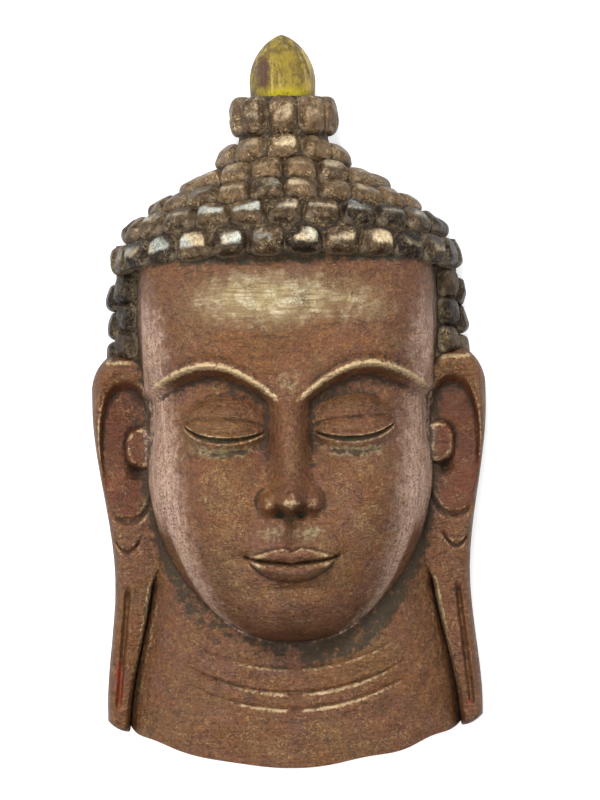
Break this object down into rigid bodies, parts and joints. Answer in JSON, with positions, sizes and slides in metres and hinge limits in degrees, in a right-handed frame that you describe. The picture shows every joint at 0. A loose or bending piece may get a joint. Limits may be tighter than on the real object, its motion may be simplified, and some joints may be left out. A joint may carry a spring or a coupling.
{
  "type": "carved wooden face mask",
  "caption": "Crowned head mask carved from one board, with knobbed hair, long ear lobes, lowered eyes and a hollowed flat back.",
  "frame": {"origin": "centre of the bounding box in X and Y, on the flat back (Z = 0)", "axes": "+Y from the neck towards the tip of the bud, +Z out of the flat back towards the face, +X to the viewer's right"},
  "size_m": [0.2484, 0.4599, 0.1193],
  "materials": {
    "painted_wood": "aged satin paint over carved wood, rubbed on the high places"
  },
  "bodies": {
    "root": {"mask": "painted_wood"}
  },
  "joints": []
}
